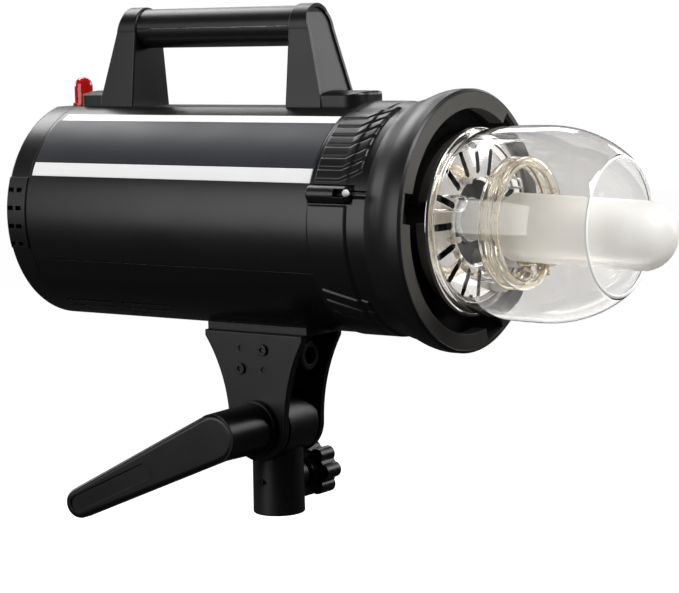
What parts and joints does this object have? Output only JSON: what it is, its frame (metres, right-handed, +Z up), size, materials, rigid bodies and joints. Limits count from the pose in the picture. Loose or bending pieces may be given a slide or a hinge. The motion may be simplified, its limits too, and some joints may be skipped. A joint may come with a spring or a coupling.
{
  "type": "monolight strobe",
  "caption": "Studio monolight flash head with ring flash tube, glass dome, bell collar, carrying handle and a lever-locked tilting stand bracket.",
  "frame": {"origin": "centre of the stand socket's mouth, on the axis of the stand's spigot", "axes": "+Z up along the socket, +X the way the lamp points, +Y to the lamp's left"},
  "size_m": [0.4076, 0.1441, 0.2961],
  "materials": {
    "cast_black": "satin black coated casting, fine orange-peel texture",
    "knob_black": "moulded glass-filled nylon, soft shine",
    "casing_black": "satin black shell with fine moulded texture",
    "casing_lower": "lower shell, smoother and a little glossier",
    "handle_black": "moulded black plastic, satin",
    "bell_black": "satin black painted aluminium",
    "bell_face": "satin dark grey painted face, light wear",
    "inner_black": "matt black moulding",
    "panel_grey": "dark blue-grey printed film, satin",
    "stripe_white": "white print, satin",
    "chrome": "polished reflector, fine spun marks",
    "dome_glass": "clear borosilicate glass",
    "tube_glass": "clear quartz glass, amber at the edges",
    "frosted_glass": "frosted warm white glass",
    "ceramic": "off-white ceramic",
    "cap_aluminium": "drawn aluminium",
    "screw_steel": "bright zinc-plated steel",
    "black_screws": "black oxide steel",
    "spring_steel": "bright spring wire",
    "zinc_steel": "zinc-plated sheet steel",
    "brass": "turned brass",
    "fibre": "pressed fibre",
    "trigger_wire": "nickel wire",
    "circuit_board": "green circuit board",
    "core_iron": "laminated core",
    "display": "dark smoked window",
    "button_grey": "grey silicone keys",
    "rocker_black": "glossy black rocker",
    "red_clear": "translucent red acrylic"
  },
  "bodies": {
    "stand_mount": {"stand_socket": "cast_black", "lock_screw_bush": "brass", "socket_grub_screw": "screw_steel"},
    "stand_screw": {"stand_lock_screw": "screw_steel"},
    "stand_knob": {"stand_lock_knob": "knob_black"},
    "head": {"bracket_plate_left": "cast_black", "bracket_plate_right": "cast_black", "bracket_core": "cast_black", "bracket_screws": "black_screws", "friction_washers": "fibre", "tilt_bolt": "screw_steel", "shell_upper": "casing_black", "shell_lower": "casing_lower", "label_panels": "panel_grey", "label_stripes": "stripe_white", "chassis_rail": "zinc_steel", "handle_post_front": "handle_black", "handle_post_rear": "handle_black", "handle_grip": "handle_black", "handle_rod": "screw_steel", "handle_screws": "black_screws", "front_housing": "casing_black", "bell_collar": "bell_black", "bayonet_ring": "bell_face", "release_barrel": "casing_black", "pin_spring": "spring_steel", "front_bulkhead": "inner_black", "reflector": "chrome", "reflector_screws": "screw_steel", "tube_clips": "spring_steel", "glass_dome": "dome_glass", "lamp_holder": "inner_black", "lamp_cap": "cap_aluminium", "lamp_glass": "frosted_glass", "flash_tube": "tube_glass", "tube_sockets": "ceramic", "trigger_wire": "trigger_wire", "capacitors": "cap_aluminium", "power_board": "circuit_board", "control_board": "circuit_board", "transformer": "core_iron", "fan_frame": "inner_black", "rear_bezel": "casing_black", "rear_panel": "panel_grey", "display_window": "display", "switch_frame": "inner_black", "mains_inlet": "inner_black", "sync_jack": "screw_steel", "rear_screws": "black_screws", "slave_dome": "red_clear"},
    "lever": {"tilt_lever": "knob_black", "lever_insert": "brass"},
    "umbrella_screw": {"umbrella_lock_screw": "screw_steel"},
    "umbrella_knob": {"umbrella_lock_knob": "knob_black"},
    "catch": {"lock_pin": "screw_steel"},
    "dial": {"control_dial": "knob_black"},
    "test_button": {"button_test": "button_grey"},
    "mode_button": {"button_mode": "button_grey"},
    "rocker": {"power_rocker": "rocker_black"},
    "fan": {"fan_rotor": "inner_black"}
  },
  "joints": [
    {"name": "head_tilt", "type": "hinge", "parent": "stand_mount", "child": "head", "pos_m": [0, 0, 0.053], "axis": [0, 1, 0], "range_deg": [-90, 90]},
    {"name": "lever_turn", "type": "hinge", "parent": "head", "child": "lever", "pos_m": [0, -0.03, 0.053], "axis": [0, -1, 0], "range_deg": [0, 110]},
    {"name": "stand_screw_feed", "type": "slide", "parent": "stand_mount", "child": "stand_screw", "axis": [0, 1, 0], "range_m": [0, 0.0025]},
    {"name": "stand_knob_turn", "type": "hinge", "parent": "stand_screw", "child": "stand_knob", "pos_m": [0, 0.03, 0.0195], "axis": [0, 1, 0], "range_deg": [0, 720]},
    {"name": "umbrella_screw_feed", "type": "slide", "parent": "head", "child": "umbrella_screw", "axis": [0, 1, 0], "range_m": [0, 0.0024]},
    {"name": "umbrella_knob_turn", "type": "hinge", "parent": "umbrella_screw", "child": "umbrella_knob", "pos_m": [-0.02, 0.028, 0.094], "axis": [0, 1, 0], "range_deg": [0, 1080]},
    {"name": "pin_pull", "type": "slide", "parent": "head", "child": "catch", "axis": [-1, 0, 0], "range_m": [0, 0.006], "stiffness_N_per_m": 400, "springref_m": -0.004, "deforming": ["pin_spring"]},
    {"name": "dial_turn", "type": "hinge", "parent": "head", "child": "dial", "pos_m": [-0.145, -0.022, 0.163], "axis": [-1, 0, 0], "continuous": true},
    {"name": "button_test_press", "type": "slide", "parent": "head", "child": "test_button", "axis": [1, 0, 0], "range_m": [0, 0.0012], "stiffness_N_per_m": 900, "springref_m": -0.0005},
    {"name": "button_mode_press", "type": "slide", "parent": "head", "child": "mode_button", "axis": [1, 0, 0], "range_m": [0, 0.0012], "stiffness_N_per_m": 900, "springref_m": -0.0005},
    {"name": "power_rock", "type": "hinge", "parent": "head", "child": "rocker", "pos_m": [-0.1385, -0.023, 0.136], "axis": [0, -1, 0], "range_deg": [0, 12]},
    {"name": "fan_spin", "type": "hinge", "parent": "head", "child": "fan", "pos_m": [-0.105, 0, 0.175], "axis": [1, 0, 0], "continuous": true}
  ],
  "couplings": [
    {"joint": "stand_knob_turn", "follows": "stand_screw_feed", "rad_per_m": 5026.5},
    {"joint": "umbrella_knob_turn", "follows": "umbrella_screw_feed", "rad_per_m": 7853.9}
  ]
}
